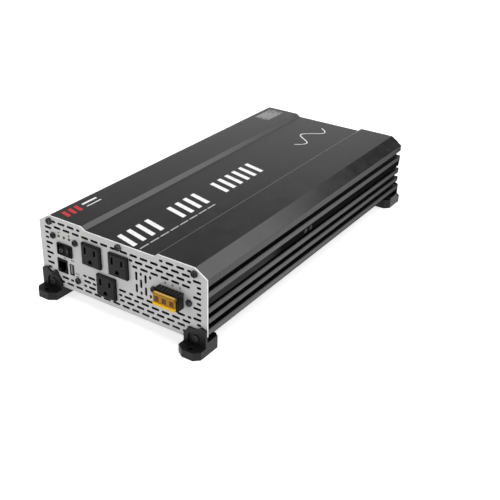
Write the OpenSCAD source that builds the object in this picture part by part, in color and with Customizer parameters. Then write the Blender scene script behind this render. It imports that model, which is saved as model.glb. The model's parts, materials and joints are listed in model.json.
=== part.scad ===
// Power inverter: a finned aluminium housing over a steel tray, vented end panels, corner feet,
// three sockets, a rocker switch, a terminal block, two fans, battery studs and the electronics.
// X runs across the body, +Y from the socket end to the battery end, and +Z up. The origin is on
// the floor, under the middle of the whole object. Lengths are in millimetres.

/* [Body] */
// Width of the housing over its side ribs
body_w = 220; // [216:1:224]
// Length of the body over both end panels
body_l = 432; // [420:1:450]
// Height of the lowest rib above the floor
rib_base = 21; // [21:0.5:23]
// Height of the housing, from the lowest rib to the top
housing_h = 73; // [73:0.5:75]
// Depth of the shallow channel along the top
channel_d = 3.5; // [2:0.5:4]
// Wall thickness of the housing
wall = 2.6; // [2.2:0.1:3]
// Thickness of the end panels
panel_t = 1.2; // [1:0.1:1.6]
// Thickness of the sheet that the tray is bent from
tray_t = 1.5; // [1:0.1:2]

/* [Feet] */
// How far a foot stands out past the end panel
foot_reach = 16.5; // [15:0.5:17]
// Width of a foot across the body
foot_w = 27.5; // [26:0.5:28]
// Height of a foot's base
foot_base_h = 9; // [8:0.5:10]
// Diameter of the hole for a floor screw
foot_hole_d = 5.2; // [4.5:0.1:6]

/* [Vents] */
// Length of a long vent slot
slot_l = 9.8; // [8.8:0.2:10.2]
// Length of a short vent slot
short_l = 4.8; // [4.2:0.2:5.2]
// Width of a vent slot
slot_w = 2.8; // [2:0.1:3]
// Distance between slots along a row
slot_pitch = 13; // [13:0.5:13.5]
// Distance between rows
row_pitch = 6; // [5.8:0.1:6.1]

/* [Sockets] */
// Width of a socket face
socket_w = 25.5; // [25:0.5:26.5]
// Height of a socket face
socket_h = 25.5; // [24:0.5:26]
// How far a socket stands out of the panel
socket_proud = 4; // [3:0.5:5]

/* [Switch] */
// Width of the switch bezel
switch_w = 21; // [20.5:0.5:21.5]
// Height of the switch bezel
switch_h = 14; // [13.5:0.5:15]
// Angle that the rocker leans to each side
rocker_tilt = 9; // [6:1:10]

/* [Terminal block] */
// Width of the output terminal block
block_w = 30; // [30:0.5:32]
// Height of the output terminal block
block_h = 17; // [16.5:0.5:18]
// How far the block stands out of the panel, without its cover
block_d = 10.3; // [10:0.1:11]

/* [Fans] */
// Width and height of a fan frame
fan_size = 60; // [60:1:60]
// Depth of a fan frame
fan_depth = 25; // [20:1:28]
// Blades on each fan
fan_blades = 7; // [5:1:9]

/* [Battery studs] */
// Diameter of a battery stud
stud_d = 8; // [6:1:10]
// How far a battery stud stands out of the rear panel
stud_reach = 23.5; // [22:0.5:26]

/* [Hidden] */

$fn = 48;

// Ends of the body along Y, set so that feet and studs are centred about the origin.
y_front = foot_reach - (foot_reach + body_l + stud_reach) / 2;
y_rear = y_front + body_l;

// Levels above the floor.
top_z = rib_base + housing_h;
channel_z = top_z - channel_d;
tray_z = 12;
floor_z = tray_z + tray_t;

// Cross-section of the housing.
half_w = body_w / 2;
rib_d = 5.5;
root_x = half_w - rib_d;
inner_x = root_x - wall;
channel_in_x = 45.2;
channel_out_x = 50.4;
bevel_in_x = 95.2;
bevel_drop = 9;
lip_z = rib_base + 55.4;
rib_tops = [50, 32.2, 20.1, 7.9];
rib_heights = [14.8, 7.7, 7.3, 7.9];
rib_faces = [6.2, 5.8, 5.5, 5.9];
rib_foot_x = half_w - 1;

// End panel screws and the channels that take them.
panel_screws = [[-95, rib_base + 66.5], [0, rib_base + 64.8], [95, rib_base + 66.5]];
screw_channel_r = 1.65;
screw_boss_r = 3.9;
screw_shank_r = 1.55;
screw_hole_r = 2;
foot_screw = [foot_w / 2, 15.8];

// Sockets, switch and ports: centres on the front panel.
socket_left_at = [-36.4, rib_base + 44];
socket_right_at = [0.1, rib_base + 44];
socket_lower_at = [-17.8, rib_base + 13.3];
switch_at = [-75.2, rib_base + 38.2];
remote_at = [-80.5, rib_base + 17.4];
usb_at = [-67.2, rib_base + 16.6];
lamp_xs = [-82.9, -75.6, -68.2];
lamp_z = rib_base + 52.4;
board_screws = [[-91, rib_base + 51], [-59.7, rib_base + 51],
    [-59.2, rib_base + 6], [-91.5, rib_base + 5.6]];
block_at = [66.5, rib_base + 31.8];
block_screw_dx = 21.8;

// Sockets and ports behind the panel.
socket_back = 20;
socket_inset = 1.1;
blade_dx = 6.35;
blade_up = 5.2;
blade_hs = [8.4, 6.6];
ground_down = 6.7;
switch_cavity_r = 8.9;
rocker_r = 8.55;
rocker_h = 10.2;
rocker_pin_r = 1;
rocker_pivot_y = 3.4;
running_gap = 0.05;
remote_size = [14, 16.5];
remote_mouth = [11.2, 9.6];
remote_depth = 13;
usb_size = [5.8, 13];
usb_depth = 13.5;
control_y = 14;
board_t = 1.6;

// Terminal block.
pole_pitch = 9.2;
pole_w = 7.6;
cover_t = 1.5;
cover_inset = 1.4;
cover_pin_r = 0.8;
cover_barrel_r = 1.55;
cover_pivot = [-block_d + 0.2, block_at[1] + block_h / 2 - 3.3];
ear_w = 2;

// Fans.
fan_x = 36;
fan_z = 52;
fan_bore_r = 28.5;
fan_hub_r = 14.5;
fan_blade_r = 27.8;
fan_shaft_r = 1.5;
fan_hole_dx = fan_size / 2 - 5;
guard_wire_r = 0.8;
guard_eye_t = 2;
guard_gap = 0.05;

// Battery studs and ground stud on the rear panel.
stud_x = 88;
stud_zs = [41, 71];
stud_r = stud_d / 2;
base_r = 11;
base_t = 5;
washer_t = 1.6;
nut_t = 6.5;
stud_inside = 24;
ground_at = [0, 26];
ground_r = 3;
ground_reach = 15.6;
ground_washer_t = 1.4;
ground_nut_t = 5;
neck_d = 0.4;

// Screws at mid-length through the side walls.
side_screw_ys = [-33, -22];
side_screw_x = half_w - 2.4;
side_screw_z = rib_base + 39.4;
side_screw_r = 2.8;

// Electronics.
board_z = floor_z + 6;
board_top = board_z + board_t;
board_y0 = y_front + 46;
board_y1 = y_rear - 44;
board_half_w = 92;
transformer_ys = [-78, -14, 50];
transformer_size = [52, 46, 44];
bar_x = inner_x - 0.2;
bar_t = 6;

// ---------- Shared shapes ----------

module mirror_x() {
    children();
    mirror([1, 0, 0]) children();
}

// A flat shape drawn in X and Z, with its front at y and its thickness running towards +Y.
module upright(y, t) {
    translate([0, y + t, 0])
        rotate([90, 0, 0])
            linear_extrude(t) children();
}

module rod_y(x, z, y, l, r) {
    translate([x, y, z])
        rotate([-90, 0, 0])
            cylinder(h = l, r = r);
}

module block(low, high) {
    translate(low) cube(high - low);
}

module rounded(w, h, r) {
    square([w - 2 * r, h], center = true);
    square([w, h - 2 * r], center = true);
    for (sx = [-1, 1], sz = [-1, 1])
        translate([sx * (w / 2 - r), sz * (h / 2 - r)]) circle(r, $fn = 32);
}

module box_2d(at, size) {
    translate(at) square(size, center = true);
}

// The head of a pan-head screw, standing on Z = 0, with a cross recess.
module pan_head(head_r, head_h) {
    difference() {
        rotate_extrude() {
            square([head_r, head_h - 1.2]);
            translate([0, head_h - 1.2]) square([head_r - 0.5, 0.6]);
            translate([0, head_h - 0.6]) square([head_r - 1.3, 0.6]);
        }
        translate([0, 0, head_h]) for (a = [0, 90])
            rotate(a) cube([head_r * 1.15, 0.9, 2.4], center = true);
    }
}

// A screw through an end panel, with its head outside: out is -1 at the front, +1 at the rear.
module panel_screw(x, z, y, out, head_r = 3.8, head_h = 3.1, shank_l = 12, shank_r = 1.55) {
    translate([x, y, z]) rotate([out < 0 ? 90 : -90, 0, 0]) {
        pan_head(head_r, head_h);
        translate([0, 0, -shank_l]) cylinder(h = shank_l, r = shank_r, $fn = 24);
    }
}

module hex_nut(across, t, bore_r) {
    difference() {
        cylinder(h = t, r = across / sqrt(3), $fn = 6);
        translate([0, 0, -1]) cylinder(h = t + 2, r = bore_r);
    }
}

// ---------- Housing and panels ----------

// One rib of the right wall, from its top edge down.
function rib_points(i) = let (z = rib_base + rib_tops[i], h = rib_heights[i]) [
    [root_x, z], [half_w - 0.6, z], [half_w, z - 0.6], [half_w, z - rib_faces[i]],
    [rib_foot_x, z - h], [root_x, z - h]];

function outer_half() = concat(
    [[0, channel_z], [channel_in_x, channel_z], [channel_out_x, top_z], [bevel_in_x, top_z],
     [half_w, top_z - bevel_drop], [half_w, lip_z + 1], [rib_foot_x, lip_z], [root_x, lip_z]],
    [for (i = [0:3], p = rib_points(i)) p]);

function inner_half() = [[0, channel_z - wall], [channel_in_x + 1, channel_z - wall],
    [channel_out_x + 1.2, top_z - wall], [bevel_in_x - 1, top_z - wall],
    [inner_x, top_z - bevel_drop + 0.4], [inner_x, rib_base - 1], [0, rib_base - 1]];

module half_profile() {
    difference() {
        polygon(concat(outer_half(), [[0, rib_base]]));
        polygon(inner_half());
    }
}

module housing() {
    color("#3a3b3d") difference() {
        union() {
            upright(y_front + panel_t, body_l - 2 * panel_t) {
                half_profile();
                mirror([1, 0]) half_profile();
            }
            for (at = panel_screws)
                rod_y(at[0], at[1], y_front + panel_t, body_l - 2 * panel_t, screw_boss_r);
        }
        for (at = panel_screws) rod_y(at[0], at[1], y_front, body_l, screw_channel_r);
        mirror_x() for (y = side_screw_ys) translate([side_screw_x, y, side_screw_z])
            rotate([0, 90, 0]) {
                cylinder(h = 8, r = side_screw_r + 0.2);
                translate([0, 0, -10]) cylinder(h = 12, r = 1.5, $fn = 24);
            }
    }
}

tray_half = inner_x - 0.3;
tray_side_top = rib_base + 14;
tray_end_top = rib_base + 0.8;

module bottom_tray() {
    color("#2c2d2f") difference() {
        union() {
            block([-tray_half, y_front + panel_t, tray_z], [tray_half, y_rear - panel_t, floor_z]);
            mirror_x()
                block([tray_half - tray_t, y_front + panel_t, tray_z],
                    [tray_half, y_rear - panel_t, tray_side_top]);
            for (y = [y_front + panel_t, y_rear - panel_t - tray_t])
                block([-tray_half, y, tray_z], [tray_half, y + tray_t, tray_end_top]);
        }
        for (x = [-1, 1] * (half_w - foot_w + foot_screw[0]))
            rod_y(x, foot_screw[1], y_front - 1, body_l + 2, screw_hole_r);
        for (at = spacer_places) translate([at[0], at[1], tray_z - 1])
            cylinder(h = tray_t + 2, r = screw_shank_r + 0.1, $fn = 24);
    }
}

// Outline of an end panel whose upright edges lie side_x from the middle.
module end_outline(side_x) {
    side_drop = bevel_drop * (side_x - bevel_in_x) / (half_w - bevel_in_x);
    right = [[channel_in_x, channel_z], [channel_out_x, top_z], [bevel_in_x, top_z],
        [side_x, top_z - side_drop], [side_x, rib_base], [tray_half, rib_base],
        [tray_half, tray_z]];
    polygon(concat(right, [for (i = [len(right) - 1:-1:0]) [-right[i][0], right[i][1]]]));
}

module panel_screw_holes() {
    for (at = panel_screws) translate(at) circle(screw_hole_r);
    for (s = [-1, 1])
        translate([s * (half_w - foot_w + foot_screw[0]), foot_screw[1]]) circle(screw_hole_r);
}

module slot(x, z, l = slot_l) {
    translate([x, z]) {
        square([l - slot_w, slot_w], center = true);
        for (s = [-1, 1])
            translate([s * (l - slot_w) / 2, 0]) circle(slot_w / 2, $fn = 20);
    }
}

module slot_row(x0, z, count) {
    for (i = [0:count - 1]) slot(x0 + i * slot_pitch, z);
}

row_x0 = -6.5 * slot_pitch;
top_row_z = top_z - 5.7;
low_row_z = rib_base + 15.3;
column_x = 102.7;

// Slots down one side of a panel: true means a long slot. Their outer ends line up.
column_long = [true, false, false, true, false, true, false, true, false, false];

module slot_column(count) {
    for (i = [0:count - 1]) {
        l = column_long[i] ? slot_l : short_l + 0.6;
        slot(column_x - l / 2, top_row_z - 9 - i * row_pitch, l);
    }
}

module top_slots() {
    slot_row(row_x0, top_row_z - row_pitch, 14);
    for (s = [-1, 1]) {
        for (x = [5, 6]) slot(s * x * slot_pitch, top_row_z);
        for (x = [54.4, 88.6]) slot(s * x, top_row_z, short_l);
    }
}

module front_slots() {
    top_slots();
    // Rows beside the upper sockets.
    slot(15.6, top_row_z - 2 * row_pitch, short_l);
    slot_row(2 * slot_pitch, top_row_z - 2 * row_pitch, 5);
    slot(88.6, top_row_z - 2 * row_pitch, short_l);
    slot(20.8, top_row_z - 3 * row_pitch, slot_l * 0.68);
    slot_row(2.5 * slot_pitch, top_row_z - 3 * row_pitch, 5);
    // Rows around the lower socket.
    slot(-49.4, low_row_z, short_l);
    slot(-3 * slot_pitch - 0.6, low_row_z);
    slot(2.6, low_row_z);
    slot(14.1, low_row_z, short_l + 1);
    slot_row(2 * slot_pitch, low_row_z, 5);
    slot(88.2, low_row_z, short_l);
    slot(-46, low_row_z - row_pitch);
    slot(-36.3, low_row_z - row_pitch, short_l);
    slot(-0.2, low_row_z - row_pitch, short_l);
    slot(9.6, low_row_z - row_pitch);
    slot(20.9, low_row_z - row_pitch, slot_l * 0.7);
    slot_row(2.5 * slot_pitch, low_row_z - row_pitch, 5);
    slot(-6 * slot_pitch, low_row_z - 2 * row_pitch);
    slot(-68.2, low_row_z - 2 * row_pitch, short_l);
    slot(-49.4, low_row_z - 2 * row_pitch, short_l);
    slot(-3 * slot_pitch - 0.6, low_row_z - 2 * row_pitch);
    slot(1.6, low_row_z - 2 * row_pitch, slot_l * 0.68);
    slot_row(slot_pitch, low_row_z - 2 * row_pitch, 6);
    slot(88.2, low_row_z - 2 * row_pitch, short_l);
    slot_row(row_x0, low_row_z - 3 * row_pitch, 14);
    // Upright slots between the right socket and the terminal block.
    for (i = [0:3]) translate([22.2 + i * row_pitch, rib_base + 32.6]) rotate(90)
        if (i % 2 == 0) {
            for (s = [-1, 1]) slot(s * 7.1, 0);
        } else {
            if (i == 1) slot(0, 0);
            for (s = [-1, 1]) slot(s * 10.9, 0, short_l - 0.8);
        }
    slot_column(10);
    mirror([1, 0]) slot_column(9);
}

module front_panel() {
    color("#c9cacb") upright(y_front, panel_t) difference() {
        end_outline(half_w);
        panel_screw_holes();
        front_slots();
        for (at = [socket_left_at, socket_right_at, socket_lower_at])
            box_2d(at, [socket_w - 1.8, socket_h - 1.8]);
        box_2d(switch_at, [switch_w - 1.6, switch_h - 1.2]);
        box_2d(remote_at, remote_size + [0.3, 0.3]);
        box_2d(usb_at, usb_size + [0.3, 0.3]);
        for (x = lamp_xs) translate([x, lamp_z]) circle(1.6);
        for (at = board_screws) translate(at) circle(1.8);
        box_2d(block_at, [block_w - 1.6, block_h - 1.6]);
        for (s = [-1, 1]) translate([block_at[0] + s * block_screw_dx, block_at[1]]) circle(1.8);
    }
}

// The rear panel is narrower than the front one and leaves the ends of the ribs open.
module rear_panel() {
    color("#2c2d2f") upright(y_rear - panel_t, panel_t) difference() {
        end_outline(root_x);
        panel_screw_holes();
        top_slots();
        slot_row(row_x0, low_row_z - 3 * row_pitch, 14);
        mirror([1, 0]) slot_column(9);
        slot_column(9);
        for (s = [-1, 1]) {
            translate([s * fan_x, fan_z]) circle(fan_bore_r - 1);
            for (dx = [-1, 1] * fan_hole_dx, dz = [-1, 1] * fan_hole_dx)
                translate([s * fan_x + dx, fan_z + dz]) circle(2.2);
            for (z = stud_zs) translate([s * stud_x, z]) circle(stud_r + 2.4);
        }
        translate(ground_at) circle(ground_r + 0.4);
    }
}

module front_panel_screws() {
    color("#1b1b1c") for (at = panel_screws) panel_screw(at[0], at[1], y_front, -1);
}

module rear_panel_screws() {
    color("#1b1b1c") for (at = panel_screws) panel_screw(at[0], at[1], y_rear, 1);
}

// Countersunk screws at mid-length that hold the heat bars to the side walls.
module side_screws() {
    color("#161617") mirror_x()
        for (y = side_screw_ys) translate([side_screw_x, y, side_screw_z]) rotate([0, 90, 0]) {
            difference() {
                cylinder(h = 1.6, r = side_screw_r);
                translate([0, 0, 1.6]) for (a = [45, 135])
                    rotate(a) cube([3.2, 0.8, 1.6], center = true);
            }
            translate([0, 0, -10]) cylinder(h = 10, r = 1.4, $fn = 24);
        }
}

// Low-profile screws under the tray, one below each board spacer.
module tray_screws() {
    color("#8d8f92") for (at = spacer_places) translate([at[0], at[1], tray_z]) {
        translate([0, 0, -1.2]) difference() {
            cylinder(h = 1.2, r = 3.2);
            translate([0, 0, 0.2]) for (a = [0, 90])
                rotate(a) cube([3.6, 0.8, 1], center = true);
        }
        cylinder(h = 5, r = screw_shank_r, $fn = 24);
    }
}

// ---------- Feet ----------

foot_wing_x = foot_w - 11;
foot_side_l = 17;
foot_side_h = 14.6;
foot_wrap_x = foot_w - (half_w - tray_half) + 0.2;
foot_plate_t = 2.6;
foot_seat_t = 1.2;

module foot_plan() {
    polygon([[8, -foot_reach], [foot_w - 6, -foot_reach], [foot_w, -foot_reach + 6],
        [foot_w, foot_side_l], [foot_w - 6, foot_side_l + 6], [6, foot_side_l + 6],
        [0, foot_side_l], [0, -foot_reach + 5.6]]);
}

// Front outline of the upright plate: a low middle and a taller wing at the outer edge.
module foot_front() {
    polygon([[0, 0], [foot_w, 0], [foot_w, 27.6], [foot_w - 1, 29.2], [foot_wing_x + 4.4, 30.8],
        [foot_wing_x, 27.2], [foot_wing_x - 3.4, 26.4], [5.8, 26.4], [0, 18.4]]);
}

// Shallow recess around the screw, with a round top.
module foot_recess() {
    translate([foot_screw[0] - 1, foot_screw[1]]) circle(7.6);
    translate([foot_screw[0] - 8.6, foot_base_h]) square([15.2, foot_screw[1] - foot_base_h]);
}

// A foot at the front right corner, measured from its inner edge and the panel's face.
module corner_foot() {
    difference() {
        union() {
            linear_extrude(foot_base_h) foot_plan();
            linear_extrude(tray_z) intersection() {
                foot_plan();
                translate([0, 0.2]) square([foot_w, foot_side_l + 6]);
            }
            linear_extrude(foot_side_h) intersection() {
                foot_plan();
                translate([foot_wrap_x, 0]) square([foot_w, foot_side_l]);
            }
            upright(-foot_plate_t, foot_plate_t - 0.1) foot_front();
        }
        upright(-foot_plate_t - 1, foot_plate_t + 1 - foot_seat_t) foot_recess();
        rod_y(foot_screw[0], foot_screw[1], -6, 20, screw_hole_r);
        translate([foot_screw[0] + 1, -10.4, -1]) cylinder(h = foot_base_h + 2, r = foot_hole_d / 2);
        for (dy = [5, 14]) translate([6, dy, -1]) cube([12, 5.5, tray_z - 2]);
    }
}

module placed_foot(sx, sy) {
    color("#262729") scale([sx, 1, 1])
        translate([0, sy < 0 ? y_front : y_rear, 0])
            scale([1, -sy, 1]) translate([half_w - foot_w, 0, 0]) corner_foot();
}

// This foot has a notch around the lowest screw of the control board.
module foot_front_left() {
    difference() {
        placed_foot(-1, -1);
        rod_y(board_screws[3][0], board_screws[3][1], y_front - 6, 6, 3.9);
    }
}

module foot_front_right() {
    placed_foot(1, -1);
}

module foot_rear_left() {
    placed_foot(-1, 1);
}

module foot_rear_right() {
    placed_foot(1, 1);
}

module foot_screws() {
    x = half_w - foot_w + foot_screw[0];
    color("#1b1b1c") for (s = [-1, 1]) {
        panel_screw(s * x, foot_screw[1], y_front - foot_seat_t, -1, 3.6, 2.2, 8, 1.9);
        panel_screw(s * x, foot_screw[1], y_rear + foot_seat_t, 1, 3.6, 2.2, 8, 1.9);
    }
}

// ---------- Sockets, switch and ports ----------

// The face has a sloped border, two blade slots of different height, a ground opening, and a
// shallow step under each opening.
module socket(at) {
    border = 1.3;
    corner_r = 0.8;
    blade_w = 2.9;
    openings_l = 14;
    color("#1d1e20") translate([at[0], y_front, at[1]]) difference() {
        union() {
            upright(-socket_proud + border, socket_proud - border - 0.1)
                rounded(socket_w, socket_h, corner_r);
            translate([0, -socket_proud + border, 0]) rotate([90, 0, 0])
                linear_extrude(border, scale = 0.88) rounded(socket_w, socket_h, corner_r);
            upright(-0.2, socket_back + 0.2)
                square([socket_w - 2 * socket_inset, socket_h - 2 * socket_inset], center = true);
        }
        upright(-socket_proud - 1, openings_l) {
            translate([-blade_dx, blade_up]) square([blade_w, blade_hs[0]], center = true);
            translate([blade_dx, blade_up]) square([blade_w, blade_hs[1]], center = true);
            translate([0, -ground_down])
                polygon([[-2.8, -2.2], [2.8, -2.2], [2.8, -0.4], [1.3, 2.6], [-1.3, 2.6],
                    [-2.8, -0.4]]);
        }
        upright(-socket_proud - 1, 1.5) {
            for (i = [0, 1])
                translate([(2 * i - 1) * blade_dx, blade_up - blade_hs[i] / 2 - 0.7])
                    square([blade_w, 1.5], center = true);
            translate([0, -ground_down - 2.9]) square([5.6, 1.5], center = true);
        }
    }
}

module socket_left() {
    socket(socket_left_at);
}

module socket_right() {
    socket(socket_right_at);
}

module socket_lower() {
    socket(socket_lower_at);
}

// Brass push-on tabs behind each socket: line, neutral and ground.
module socket_tabs() {
    color("#b08d45") for (at = [socket_left_at, socket_right_at, socket_lower_at])
        translate([at[0], y_front + socket_back, at[1]])
            for (p = [[-blade_dx, blade_up], [blade_dx, blade_up], [0, -ground_down]])
                translate(p[0] * [1, 0, 0] + p[1] * [0, 0, 1]) difference() {
                    translate([-0.4, 0, -3.15]) cube([0.8, 8, 6.3]);
                    translate([0, 5, 0]) rotate([0, 90, 0])
                        cylinder(h = 4, r = 0.9, center = true, $fn = 20);
                }
}

module switch_bezel() {
    color("#131314") translate([switch_at[0], y_front, switch_at[1]]) difference() {
        union() {
            upright(-2, 1.9) rounded(switch_w, switch_h, 1.2);
            upright(-0.2, 18.2) square([switch_w - 2, switch_h - 1.6], center = true);
        }
        upright(-3, 3 + rocker_pivot_y) square([17.6, rocker_h + 0.6], center = true);
        translate([0, rocker_pivot_y, 0])
            cylinder(h = rocker_h + 0.6, r = switch_cavity_r, center = true);
        translate([0, rocker_pivot_y, 0])
            cylinder(h = rocker_h + 2.4, r = rocker_pin_r + running_gap, center = true, $fn = 32);
    }
}

// The rocker's face is a shallow valley. It rests with its right end pressed in.
module switch_rocker() {
    color("#1a1a1b") translate([switch_at[0], y_front + rocker_pivot_y, switch_at[1]])
        rotate(rocker_tilt) {
            intersection() {
                cylinder(h = rocker_h, r = rocker_r, center = true);
                translate([0, 0, -rocker_h / 2]) linear_extrude(rocker_h)
                    polygon([[-9, -7], [-7.2, -7], [0, -5.4], [7.2, -7], [9, -7],
                        [9, 0.6], [3, 3.2], [-3, 3.2], [-9, 0.6]]);
            }
            cylinder(h = rocker_h + 2, r = rocker_pin_r, center = true, $fn = 32);
        }
}

module switch_tabs() {
    color("#b08d45") translate([switch_at[0], y_front + 18, switch_at[1]])
        for (x = [-5.5, 5.5]) translate([x - 0.4, 0, -3.15]) cube([0.8, 8, 6.3]);
}

module remote_port() {
    color("#151516") translate([remote_at[0], y_front, remote_at[1]]) difference() {
        upright(-0.8, remote_depth) square(remote_size, center = true);
        upright(-2, remote_depth) {
            translate([0, 1]) square(remote_mouth, center = true);
            translate([0, -5.2]) square([5.6, 3.2], center = true);
        }
    }
}

module remote_contacts() {
    color("#c79a3e") translate([remote_at[0], y_front, remote_at[1]])
        for (i = [0:5]) translate([-3.2 + i * 1.27, 1.2, 4.9]) cube([0.5, 9, 0.8]);
}

module usb_shell() {
    color("#b9bbbe") translate([usb_at[0], y_front, usb_at[1]]) difference() {
        upright(-0.6, usb_depth) square(usb_size, center = true);
        upright(-1.6, usb_depth) square(usb_size - [1, 1], center = true);
    }
}

module usb_tongue() {
    color("#cfd0d2") translate([usb_at[0] - 1.2, y_front, usb_at[1]])
        upright(0.4, 11.4) square([1.9, 11], center = true);
}

module status_lamps() {
    color("#5b6a45") for (x = lamp_xs) translate([x, y_front, lamp_z]) rotate([90, 0, 0])
        rotate_extrude() intersection() {
            union() {
                translate([0, -control_y]) square([1.45, control_y]);
                circle(1.45);
            }
            translate([0, -control_y]) square([2, 20]);
        }
}

module control_board() {
    color("#1f5a35") upright(y_front + control_y, board_t) difference() {
        polygon([[-98, rib_base + 1], [-53, rib_base + 1], [-53, rib_base + 57],
            [-98, rib_base + 57]]);
        for (at = board_screws) translate(at) circle(1.7);
        box_2d(switch_at, [switch_w, switch_h]);
    }
    color("#1b1b1c") for (i = [0:3])
        block([-96 + i * 11, y_front + control_y + board_t, rib_base + 2],
            [-89 + i * 11, y_front + control_y + board_t + 2, rib_base + 8 + i]);
}

module control_spacers() {
    color("#b08d45") for (at = board_screws)
        translate([at[0], y_front + panel_t, at[1]]) rotate([-90, 0, 0])
            hex_nut(5.5, control_y - panel_t, 1.6);
}

module control_board_screws() {
    color("#1b1b1c") for (at = board_screws)
        panel_screw(at[0], at[1], y_front, -1, 3.6, 2.9, 12, 1.5);
}

// ---------- Output terminal block ----------

module terminal_block() {
    x0 = -block_w / 2;
    color("#17140f") translate([block_at[0], y_front, block_at[1]]) difference() {
        union() {
            upright(-block_d, block_d - 0.1) square([block_w, block_h], center = true);
            upright(-0.2, panel_t + 4.2)
                square([block_w - 2.4, block_h - 2.4], center = true);
            upright(panel_t + 0.1, 2.4) square([block_screw_dx * 2 + 9, block_h - 3], center = true);
        }
        // Chambers, open at the front, and a wire way out of the bottom of each.
        for (i = [-1:1]) {
            upright(-block_d - 1, 9.6) translate([i * pole_pitch, -2])
                square([pole_w, block_h - 8], center = true);
            block([i * pole_pitch - 2.6, -block_d - 1, -block_h],
                [i * pole_pitch + 2.6, -block_d + 6, 0]);
        }
        // Notch for the cover's hinge barrel, between two ears.
        translate([0, cover_pivot[0], cover_pivot[1] - block_at[1]]) rotate([0, 90, 0])
            cylinder(h = block_w - 2 * ear_w, r = cover_barrel_r + 0.35, center = true);
        block([x0 + ear_w, -block_d - 1, cover_pivot[1] - block_at[1]],
            [-x0 - ear_w, cover_pivot[0] + cover_barrel_r + 0.35, block_h]);
        translate([0, cover_pivot[0], cover_pivot[1] - block_at[1]]) rotate([0, 90, 0])
            cylinder(h = block_w - 0.8, r = cover_pin_r + running_gap, center = true, $fn = 32);
        for (s = [-1, 1]) rod_y(s * block_screw_dx, 0, -1, 12, 1.7);
    }
}

// See-through cover with a thick lower lip. It hangs from a hinge barrel near the block's top.
module terminal_cover() {
    z_low = block_at[1] - block_h / 2 + 1;
    half = block_w / 2 - cover_inset;
    ear_half = block_w / 2 - ear_w - 0.3;
    back_y = -block_d - 0.25;
    color("#d99a12") translate([block_at[0], y_front, 0]) {
        block([-half, back_y - cover_t, z_low],
            [half, back_y, cover_pivot[1] - cover_barrel_r - 0.35]);
        block([-half, back_y - cover_t - 0.9, z_low], [half, back_y, z_low + 3.2]);
        block([-ear_half, back_y - cover_t, cover_pivot[1] - cover_barrel_r - 0.4],
            [ear_half, back_y, cover_pivot[1]]);
        translate([0, cover_pivot[0], cover_pivot[1]]) rotate([0, 90, 0]) {
            cylinder(h = block_w - 2 * ear_w - 0.6, r = cover_barrel_r, center = true);
            cylinder(h = block_w - 1.4, r = cover_pin_r, center = true, $fn = 32);
        }
    }
}

module terminal_plates() {
    color("#c8a24a") translate([block_at[0], y_front, block_at[1]])
        for (i = [-1:1])
            block([i * pole_pitch - 3.5, -2.6, -6.4], [i * pole_pitch + 3.5, -1.8, 2.4]);
}

module terminal_screws() {
    color("#b9bbbe") for (i = [-1:1])
        translate([block_at[0] + i * pole_pitch, y_front - 2.6, block_at[1] - 2])
            rotate([90, 0, 0]) pan_head(2.8, 2.4);
}

module block_screws() {
    color("#1b1b1c") for (s = [-1, 1])
        panel_screw(block_at[0] + s * block_screw_dx, block_at[1], y_front, -1, 3.6, 2.9, 10, 1.6);
}

// ---------- Fans ----------

fan_y = y_rear - panel_t - fan_depth;
fan_base_t = 3;
fan_boss_r = 4;

module fan_frame(s) {
    color("#17181a") translate([s * fan_x, fan_y, fan_z]) {
        difference() {
            upright(0, fan_depth - 0.1) difference() {
                rounded(fan_size, fan_size, 4);
                circle(fan_bore_r);
                for (dx = [-1, 1] * fan_hole_dx, dz = [-1, 1] * fan_hole_dx)
                    translate([dx, dz]) circle(2.15);
            }
            // The frame is waisted between its two corner flanges.
            upright(4, fan_depth - 8) difference() {
                square(fan_size + 2, center = true);
                circle(fan_bore_r + 1.6);
            }
        }
        // Struts, motor base and the bearing tube that carries the rotor's shaft.
        difference() {
            union() {
                upright(0, fan_base_t) for (a = [20, 110, 200, 290])
                    rotate(a) translate([0, -1.6]) square([fan_bore_r + 0.8, 3.2]);
                upright(0, fan_base_t) circle(fan_hub_r - 0.5);
                rod_y(0, 0, 0, 14, fan_boss_r);
            }
            rod_y(0, 0, -1, 16, fan_shaft_r + running_gap);
        }
    }
}

module fan_rotor(s) {
    hub_y = fan_base_t + 1;
    hub_l = 16;
    color("#1f2023") translate([s * fan_x, fan_y, fan_z]) {
        difference() {
            rod_y(0, 0, hub_y, hub_l, fan_hub_r);
            rod_y(0, 0, hub_y - 1, hub_l - 1, fan_hub_r - 1.6);
        }
        rod_y(0, 0, 1, hub_y + hub_l - 1.5, fan_shaft_r);
        for (i = [0:fan_blades - 1]) rotate([0, i * 360 / fan_blades, 0]) difference() {
            intersection() {
                rod_y(0, 0, hub_y - 2, hub_l + 4, fan_blade_r);
                translate([20, hub_y + hub_l / 2, 0]) rotate([48, 0, 0])
                    cube([22, 1.4, 19], center = true);
            }
            rod_y(0, 0, hub_y - 3, hub_l + 6, fan_hub_r - 0.8);
        }
    }
}

module fan_frame_left() {
    fan_frame(-1);
}

module fan_frame_right() {
    fan_frame(1);
}

module fan_rotor_left() {
    fan_rotor(-1);
}

module fan_rotor_right() {
    fan_rotor(1);
}

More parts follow.
